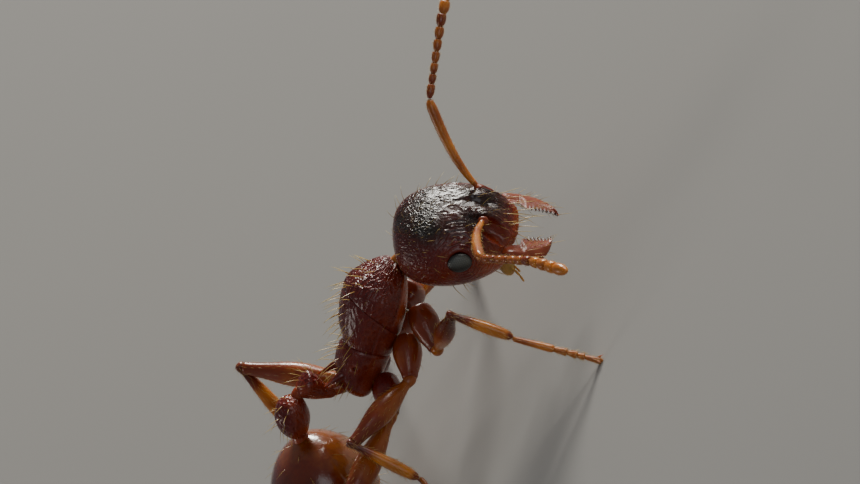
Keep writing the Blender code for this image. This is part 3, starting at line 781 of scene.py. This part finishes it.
trunk_plate("pronotum_plate", "pronotum", None, SEAMS[0])
trunk_plate("mesothorax_plate", "mesothorax", SEAMS[0], SEAMS[1])
trunk_plate("propodeum_plate", "propodeum", SEAMS[1], None)
bpy.data.objects.remove(trunk.piece, do_unlink=True)
SPINE_PROFILE = ((0.06, 0.8), (0.2, 0.86), (0.5, 0.5), (0.8, 0.22), (0.95, 0.09))
for side_name, way in LEFT_AND_RIGHT:
    foot = trunk_frame @ Vector((-0.52, 0.12 * way, 0.005))
    point = trunk_frame @ Vector((-0.7, 0.155 * way, 0.135))
    spine = limb(f"spine_{side_name}", foot, point, SPINE_PROFILE, 0.048)
    spine.wrinkle(ridges(spine.at, spine.turns * 7, 86), 0.003)
    spine.tone = 0.55 - 0.25 * ease(spine.at[:, 0] / spine.length, 0.4, 1)
    spine.keep(dark_shell)
    spine.settle("dark_cuticle")


# Neck: a short ringed tube of thin shell, between the collar of the trunk and the back of the head.
# The same rings lie on the skins of the waist's joints.
def ring_skin(skin, pitch, depth, tone, shell):
    """Lays rings round a joint's skin, with one even tone."""
    skin.wrinkle(0.5 + 0.5 * np.cos(2 * pi * skin.at[:, 0] / pitch), depth)
    skin.tone = tone
    skin.keep(shell)


neck_start = trunk_frame @ Vector((0.56, 0, 0.03))
neck_end = head_frame @ Vector((-0.47, -0.03, -0.1))
neck = limb("neck_tube", neck_start, neck_end, ((0.05, 1), (0.3, 0.95), (0.6, 0.9), (0.95, 1)), 0.062)
ring_skin(neck, 0.024, 0.004, 0.2, limb_shell)
neck.settle("dark_cuticle", "neck")

# Waist: the petiole with its blunt upright node, and the rounder postpetiole behind it, both wrinkled,
# with a ringed skin at each of its three joints.
WAIST = [Vector((x, 0, z)) for x, z in ((-0.73, -0.04), (-0.86, 0.33), (-1.29, 0.05), (-1.92, -1.03))]
WAIST_FORMS = {
    "petiole": (
        (0, 0, 0, 0),
        (0.02, 0.06, 0.05, -0.06),
        (0.11, 0.075, 0.06, -0.08),
        (0.2, 0.11, 0.13, -0.09),
        (0.28, 0.13, 0.165, -0.085),
        (0.335, 0.1, 0.11, -0.075),
        (0.36, 0.05, 0.04, -0.05),
        (0.365, 0, 0, 0),
    ),
    "postpetiole": (
        (0.065, 0, 0.03, 0.03),
        (0.08, 0.06, 0.09, -0.03),
        (0.13, 0.13, 0.16, -0.08),
        (0.26, 0.165, 0.2, -0.12),
        (0.38, 0.145, 0.17, -0.1),
        (0.465, 0.085, 0.09, -0.06),
        (0.48, 0, 0.01, 0.01),
    ),
}
waist = []
for (name, stations), start, end in zip(WAIST_FORMS.items(), WAIST, WAIST[1:]):
    knot = Plate(f"{name}_knot", stations, 200, 120)
    x, y, z = knot.at.T
    fine = ridges(knot.at, knot.turns * 26, 91)
    open_net = net(knot.at / (0.06, 0.045, 0.045), 92)
    blend = ease(z, 0, 0.1)
    knot.wrinkle((open_net * blend + fine * (1 - blend)) * ease(z, -0.1, 0.02) ** 0.5, 0.0055)
    pore = np.hypot(x - 0.1, z - 0.015)
    knot.swell(0.004 * hill(pore, 0.014, 0.005) - 0.01 * hill(pore, 0, 0.008))
    knot.tone = 0.36 + 0.26 * ease(z, 0.02, 0.16) + 0.07 * clouds(knot.at * 8, 93)
    knot.keep(dark_shell, trunk_frame @ Matrix.Translation(start) @ along(end - start))
    knot.settle("dark_cuticle", name)
    waist.append(knot)
front_hinge, mid_hinge, gaster_root, gaster_tip = WAIST
skins = []
for name, start, end, profile, radius in (
    (
        "petiole_joint", Vector((-0.64, 0, -0.12)), Vector((-0.745, 0, 0)),
        ((0.1, 0.9), (0.5, 1), (0.9, 0.9)), 0.06,
    ),
    (
        "waist_joint", mid_hinge.lerp(front_hinge, 0.16), mid_hinge.lerp(gaster_root, 0.2),
        ((0.1, 0.9), (0.9, 0.95)), 0.052,
    ),
    (
        "gaster_joint", gaster_root.lerp(mid_hinge, 0.12), gaster_root.lerp(gaster_tip, 0.05),
        ((0.1, 0.9), (0.9, 0.95)), 0.075,
    ),
):
    skins.append(limb(name, trunk_frame @ start, trunk_frame @ end, profile, radius))
    ring_skin(skins[-1], 0.02, 0.003, 0.25, dark_shell)
join("waist_joints", skins, "dark_cuticle")

# Gaster: four polished plates that slide into one another like a telescope, the first the longest, each
# with a thin pale rear edge, and the blunt sheath of the sting at the tip.
gaster_shell = cuticle(
    "gaster_shell", (0.028, 0.006, 0.003), (0.19, 0.026, 0.004), (0.6, 0.22, 0.03), 0.22, 0.0007, 0.6
)
GASTER_LENGTH = (gaster_tip - gaster_root).length
GASTER_FORM = (
    (0, 0, 0, 0),
    (0.01, 0.13, 0.11, -0.1),
    (0.1, 0.35, 0.34, -0.25),
    (0.27, 0.51, 0.52, -0.39),
    (0.46, 0.55, 0.54, -0.43),
    (0.66, 0.44, 0.4, -0.36),
    (0.83, 0.28, 0.24, -0.23),
    (0.94, 0.12, 0.09, -0.12),
    (0.985, 0.045, 0.01, -0.06),
    (1, 0, -0.03, -0.03),
)
GASTER_STATIONS = [(share * GASTER_LENGTH, *form) for share, *form in GASTER_FORM]
even = np.linspace(0, 1, 400)
reached = smooth(GASTER_STATIONS, even)[0] / GASTER_LENGTH
LEVELS = (0, 0.6, 0.78, 0.89, 1)
gaster_frame = trunk_frame @ Matrix.Translation(gaster_root) @ along(gaster_tip - gaster_root)
gaster = []
for number, (front, rear) in enumerate(zip(LEVELS, LEVELS[1:]), 1):
    first = float(np.interp(max(front - 0.03, 0), reached, even))
    last = float(np.interp(rear, reached, even))
    way_in = [(0, first, 0), (0.05, first, 0.95)] if front else [(0, 0, 1)]
    way_out = [(0.94, last, 1), (0.965, last, 0.975), (0.985, last - 0.01, 0.9), (1, last - 0.01, 0)]
    reach = way_in + (way_out if rear < 1 else [(1, 1, 1)])
    fineness = (140, 60) if front else (200, 150)
    ring = Plate(f"gaster_plate_{number}", GASTER_STATIONS, *fineness, reach=reach)
    x, y, z = ring.at.T
    share = x / GASTER_LENGTH
    under = ease(-share, -front - 0.03, -front) if front else 0 * share
    edge = hill(share, rear, 0.02) if rear < 1 else 0 * share
    fold = hill(z + 0.13 + 0.1 * share, 0, 0.012) * ease(share, 0.12, 0.22)
    ring.swell(0.006 * edge - 0.016 * under - 0.007 * fold)
    ring.wrinkle(grains(ring.at * 40, 94), 0.0006)
    middle = hill(share, (front + rear) / 2 + 0.04, 0.42 * (rear - front)) * ease(z, -0.25, 0.1)
    ring.tone = 0.4 + 0.42 * middle + 0.07 * clouds(ring.at * 4, 96) - 0.22 * edge
    ring.keep(gaster_shell, gaster_frame)
    ring.settle("gaster_cuticle", f"gaster_{number}")
    gaster.append(ring)


# Legs: six, each of a stout coxa, a small trochanter, a club-shaped femur, a tibia with its spur, and a
# tarsus of five joints that ends in two hooked claws; amber shell, set end to end.
CLAW_LENGTH = 0.062
HIP_BALL, KNEE_BALL = 0.052, 0.045
COXA_PROFILE = ((0.03, 0.68), (0.16, 0.9), (0.38, 1), (0.62, 0.84), (0.86, 0.58), (0.97, 0.46))
RING_PROFILE = ((0.06, 0.6), (0.4, 1), (0.8, 0.9), (0.96, 0.6))
FEMUR_PROFILE = (
    (0.02, 0.38), (0.08, 0.46), (0.28, 0.84), (0.44, 1), (0.6, 0.93), (0.78, 0.66), (0.92, 0.52),
    (0.975, 0.46),
)
TIBIA_PROFILE = (
    (0.02, 0.62), (0.07, 0.7), (0.16, 0.56), (0.4, 0.82), (0.66, 1), (0.85, 0.9), (0.96, 0.62)
)
TOE_PROFILE = ((0.03, 0.55), (0.12, 0.72), (0.5, 0.86), (0.9, 1), (0.985, 0.6))
CLAW_PROFILE = ((0.04, 0.8), (0.25, 1), (0.6, 0.6), (0.93, 0.2))
PAD_PROFILE = ((0.1, 0.8), (0.5, 1), (0.9, 0.8))
TARSUS_SHARES = (0.46, 0.15, 0.115, 0.085, 0.19)
KNEE_DARKENING = {"fore": 0.44, "mid": 0.2, "hind": 0.06}
UP = Vector((0, 0, 1))
legs = {}


def claw(name, root, heading, droop):
    """One small hook: a thin cone bent down towards the floor."""
    hook = limb(name, root, root + heading * CLAW_LENGTH, CLAW_PROFILE, 0.0105, 12, 20)
    bent = hook.place.to_3x3().inverted() @ (UP * -droop)
    hook.at = hook.at + np.outer((hook.at[:, 0] / hook.length) ** 2, bent[:])
    return hook


for pair, side_name in ((pair, side) for pair in KNEE_DARKENING for side, way in LEFT_AND_RIGHT):
    leg = f"{pair}_{side_name}"
    points = [TRUNK_MIDDLE]
    for part in ("coxa", "femur", "tibia", "tarsus"):
        points += ends(f"{part}_{leg}", points[-1])
    hip, thigh_root, thigh, knee, shin, ankle, heel, toe = points[1:]
    thigh_joint = thigh + (knee - thigh).normalized() * HIP_BALL
    knee_joint = shin + (ankle - shin).normalized() * KNEE_BALL

    thick = girth(f"coxa_{leg}", hip, thigh_root)
    coxa = limb(f"coxa_{leg}_shell", hip, thigh_joint, COXA_PROFILE, thick, 60, 60)
    coxa.wrinkle(ridges(coxa.at, coxa.turns * 22, 101) * ease(coxa.at[:, 0], 0.02, 0.08), 0.0035)
    coxa.tone = (0.64 if pair == "fore" else 0.54) + 0.1 * clouds(coxa.at * 7, 102)
    coxa.keep(dark_shell if pair == "hind" else limb_shell)
    coxa.settle("amber_cuticle", f"coxa_{leg}")

    ring = limb("trochanter", thigh, thigh.lerp(knee, 0.15), RING_PROFILE, 0.056, 32, 24)
    thick = girth(f"femur_{leg}", thigh, knee)
    femur = limb("femur", thigh.lerp(knee, 0.1), knee_joint, FEMUR_PROFILE, thick, 44, 90, flat=0.88)
    for plate in (ring, femur):
        plate.wrinkle(grains(plate.at * (22, 50, 50), 103), 0.0014)
        darker = KNEE_DARKENING[pair] * ease(plate.at[:, 0] / femur.length, 0.3, 0.9)
        plate.tone = 0.46 + 0.12 * clouds(plate.at * 5 + 3, 104) + darker
        plate.keep(limb_shell)
    join(f"femur_{leg}_shell", [femur, ring], "amber_cuticle", f"femur_{leg}")

    stretch = (ankle - shin).normalized() * 0.012
    thick = girth(f"tibia_{leg}", shin, ankle)
    tibia = limb("tibia", shin - stretch, ankle + stretch, TIBIA_PROFILE, thick, 40, 80, flat=0.85)
    foot_way = (toe - heel).normalized()
    spur_way = (foot_way - UP * 0.35).normalized()
    spur = claw("spur", ankle.lerp(shin, 0.05) - UP * 0.02, spur_way, 0)
    spur.at *= (1.7, 1, 1)
    for plate in (tibia, spur):
        plate.wrinkle(grains(plate.at * (22, 50, 50), 105), 0.0012)
        share = plate.at[:, 0] / tibia.length
        plate.tone = 0.74 - 0.56 * ease(share, 0.15, 0.55) + 0.4 * ease(share, 0.88, 0.96)
        plate.tone = plate.tone + 0.14 * clouds(plate.at * 6 + 5, 106)
        plate.keep(limb_shell)
    join(f"tibia_{leg}_shell", [tibia, spur], "amber_cuticle", f"tibia_{leg}")

    toes, reached = [], 0
    for number, share in enumerate(TARSUS_SHARES):
        first, last = heel.lerp(toe, reached), heel.lerp(toe, min(reached + share * 1.03, 1))
        reached += share
        rings = 24 if number else 50
        toes.append(limb("toe", first, last, TOE_PROFILE, 0.036 - 0.0016 * number, 24, rings))
    aside = foot_way.cross(UP).normalized()
    flat_way = Vector((foot_way.x, foot_way.y, 0)).normalized()
    for spread in (1, -1):
        root = toe - foot_way * 0.03 + aside * spread * 0.014 + UP * 0.016
        toes.append(claw("claw", root, (flat_way + aside * spread * 0.55).normalized(), 0.016))
    toes.append(limb("pad", toe - foot_way * 0.02, toe + flat_way * 0.022, PAD_PROFILE, 0.016, 16, 12))
    for plate in toes:
        plate.wrinkle(grains(plate.at * 55, 107), 0.001)
        plate.tone = 0.28 + 0.12 * clouds(plate.at * 9, 108)
        height = (np.array(plate.place.to_3x3())[2] @ plate.at.T) + plate.place.translation.z
        lift = plate.place.to_3x3().inverted() @ UP
        plate.at = plate.at + np.outer(np.clip(-height, 0, None), lift[:])
        plate.keep(limb_shell)
    join(f"tarsus_{leg}_joints", toes, "amber_cuticle", f"tarsus_{leg}")
    legs[leg] = (coxa, femur, tibia, toes[:5])

# Setae: pale bristles as solid mesh. Long ones stand up from the head, trunk, waist and gaster, and fine
# short ones lie along the feelers and legs. Each is a thin closed spike, bent the way its coat lies.
SPIKE_STEPS, SPIKE_TAPER = np.array((0, 0.35, 0.7)), (1, 0.86, 0.52)
SPIKE_BEND, SPIKE_DEPTH = 0.3, 0.004
SPIKE_POINTS = 10
LEAN_SCATTER, WAY_SCATTER = 0.13, 0.1
SEED, SPACING = 7, 0.62
PATCH, MARGIN = 0.003, 0.02
FLOOR_CLEARANCE = 0.002
seta, seta_shader, seta_paint = new_material("seta")
growth = seta_paint.mark("tone")
growth.ramp((0, (0.42, 0.2, 0.04)), (1, (0.9, 0.7, 0.22))).feed(seta_shader, "Base Color")
seta_shader.inputs["Roughness"].default_value = 0.34


class Coat:
    """Bristles sown over plates that are already kept, gathered into one mesh."""

    def __init__(self, name, slot, tiles):
        """tiles is how many plates the coat grows on, so that each has its own square of the map."""
        self.name, self.slot = name, slot
        self.grid = int(np.ceil(tiles**0.5))
        self.dice = np.random.default_rng(SEED + tiles)
        self.sown, self.plates = [], []

    def sow(self, plate, count, length, lean, thickness, mask=lambda x, y, z: 1, lie=1):
        """Adds bristles where the mask isn't 0: length is (least, greatest), lean the angle from upright,
        and lie +1 or -1 along the plate's X.
        """
        weight = plate.areas * np.clip(mask(*plate.centres.T), 0, 1)
        picks = self.dice.choice(len(weight), 6 * count, p=weight / weight.sum())
        apart = SPACING * (plate.areas[weight > 0.3 * plate.areas].sum() / count) ** 0.5
        kept = []
        for pick in picks:
            spot = plate.centres[pick]
            if not kept or np.linalg.norm(plate.centres[kept] - spot, axis=1).min() > apart:
                kept.append(pick)
            if len(kept) == count:
                break
        turned = np.array(plate.place.to_3x3())
        normal = plate.outward[kept] @ turned.T
        root = plate.centres[kept] @ turned.T + np.array(plate.place.translation)
        flow = np.tile(turned[:, 0] * lie, (len(kept), 1))
        flow -= normal * (flow * normal).sum(axis=1, keepdims=True)
        flow /= np.linalg.norm(flow, axis=1, keepdims=True) + 1e-9
        angle = radians(lean) + self.dice.normal(0, LEAN_SCATTER, (len(kept), 1))
        way = normal * np.cos(angle) + flow * np.sin(angle)
        way += self.dice.normal(0, WAY_SCATTER, normal.shape)
        size = self.dice.uniform(*length, (len(kept), 1))
        if plate not in self.plates:
            self.plates.append(plate)
        number = self.plates.index(plate)
        corner = np.array((number % self.grid, number // self.grid)) / self.grid
        tile = corner + (MARGIN + (1 - 2 * MARGIN) * plate.face_unwrap[kept]) / self.grid
        thick = np.full((len(kept), 1), thickness) * (0.8 + 0.4 * size / length[1])
        self.sown.append((root - normal * SPIKE_DEPTH, way * size, flow * size * SPIKE_BEND, thick, tile))

    def grow(self):
        """Makes the spikes, their map and their material, and settles the piece."""
        root, way, droop, thick, tile = (np.concatenate(values) for values in zip(*self.sown))
        count = len(root)
        across = np.cross(way, droop + 1e-6)
        across /= np.linalg.norm(across, axis=1, keepdims=True)
        other = np.cross(way, across)
        other /= np.linalg.norm(other, axis=1, keepdims=True)
        places = np.empty((count, SPIKE_POINTS, 3))
        steps = np.repeat(SPIKE_STEPS, 3)
        turns = np.tile(np.arange(3) * 2 * pi / 3, 3)
        for number, (step, turn) in enumerate(zip(steps, turns)):
            off = (across * cos(turn) + other * sin(turn)) * thick * SPIKE_TAPER[number // 3]
            places[:, number] = root + way * step + droop * step**2 + off
        places[:, 9] = root + way + droop
        places[:, :, 2] = np.maximum(places[:, :, 2], FLOOR_CLEARANCE)
        walls = [(a + k, a + (k + 1) % 3, a + 3 + (k + 1) % 3, a + 3 + k) for a in (0, 3) for k in range(3)]
        spike = walls + [(6 + k, 6 + (k + 1) % 3, 9) for k in range(3)] + [(2, 1, 0)]
        firsts = range(0, count * SPIKE_POINTS, SPIKE_POINTS)
        faces = [[first + corner for corner in face] for first in firsts for face in spike]
        mesh = bpy.data.meshes.new(self.name)
        mesh.from_pydata((places.reshape(-1, 3) * MM).tolist(), [], faces)
        layer = mesh.attributes.new("tone", "FLOAT", "POINT")
        layer.data.foreach_set("value", np.tile(np.append(steps, 1), count).astype(np.float32))
        spread = np.column_stack((np.cos(turns), np.sin(turns))) * (0.25 + 0.2 * steps[:, None])
        spread = np.vstack((spread, (0.5, 0.5))) * PATCH
        corners = np.zeros(len(mesh.loops), dtype=np.int32)
        mesh.loops.foreach_get("vertex_index", corners)
        atlas = (tile[:, None, :] + spread[None]).reshape(-1, 2)[corners]
        mesh.uv_layers.new(name="OFBake").data.foreach_set("uv", atlas.astype(np.float32).ravel())
        mesh.shade_smooth()
        mesh.materials.append(seta)
        piece = bpy.data.objects.new(self.name, mesh)
        bpy.context.scene.collection.objects.link(piece)
        assign(piece, self.slot)


def off_the_eyes(x, y, z):
    """All of the head but its eyes and their rims."""
    return ease(np.hypot(x - EYE.x, z - EYE.z) + 3 * np.abs(np.abs(y) - EYE.y) ** 2, 0.13, 0.16)


def under_the_chin(x, y, z):
    """The front half of the underside."""
    return ease(-z, 0.16, 0.26) * ease(x, -0.35, 0)


def over_the_jaws(x, y, z):
    """The front edge of the clypeus."""
    return ease(x, 0.41, 0.47) * ease(z, -0.02, 0.06) * ease(-np.abs(y), -0.26, -0.2)


def along_the_back(x, y, z):
    """The top of the trunk, short of its collar."""
    top = ease(z + 0.25 * (0.3 - x), 0.08, 0.18)
    return top * ease(-np.abs(y), -0.24, -0.14) * ease(-x, -0.56, -0.48)


head_coat = Coat("setae_head", "dark_cuticle", 3)
head_coat.sow(head, 64, (0.08, 0.13), 28, 0.0022, lambda *at: ease(at[2], 0, 0.15) * off_the_eyes(*at))
head_coat.sow(head, 420, (0.03, 0.045), 68, 0.0012, off_the_eyes)
head_coat.sow(head, 16, (0.16, 0.24), 50, 0.0034, over_the_jaws)
head_coat.sow(head, 26, (0.1, 0.18), 25, 0.0034, under_the_chin)
for jaw in jaws:
    head_coat.sow(jaw, 34, (0.07, 0.12), 48, 0.0022, lambda x, y, z: ease(x, 0.04, 0.1))
head_coat.grow()

trunk_coat = Coat("setae_trunk", "dark_cuticle", 3)
trunk_coat.sow(trunk, 70, (0.13, 0.19), 20, 0.0036, along_the_back, lie=-1)
trunk_coat.sow(trunk, 60, (0.04, 0.06), 60, 0.0014, lie=-1)
for knot in waist:
    trunk_coat.sow(knot, 18, (0.1, 0.15), 24, 0.0028, lambda x, y, z: ease(z, 0.02, 0.1))
trunk_coat.grow()

gaster_coat = Coat("setae_gaster", "gaster_cuticle", 4)
for ring, count in zip(gaster, (90, 36, 28, 20)):
    gaster_coat.sow(ring, count, (0.09, 0.14), 54, 0.0022)
gaster_coat.grow()

feeler_coat = Coat("setae_feelers", "amber_cuticle", 24)
for scape, *beads in feelers.values():
    feeler_coat.sow(scape, 170, (0.032, 0.048), 58, 0.0013, lambda x, y, z: ease(x, 0.12, 0.2))
    for bead in beads:
        feeler_coat.sow(bead, 64, (0.024, 0.034), 60, 0.0011)
feeler_coat.grow()

leg_coat = Coat("setae_legs", "amber_cuticle", 48)
for coxa, femur, tibia, toes in legs.values():
    leg_coat.sow(coxa, 22, (0.05, 0.08), 50, 0.0016)
    leg_coat.sow(femur, 130, (0.036, 0.058), 60, 0.0015)
    leg_coat.sow(tibia, 190, (0.036, 0.056), 56, 0.0015)
    for plate in toes:
        leg_coat.sow(plate, 56, (0.03, 0.046), 54, 0.0014)
leg_coat.grow()
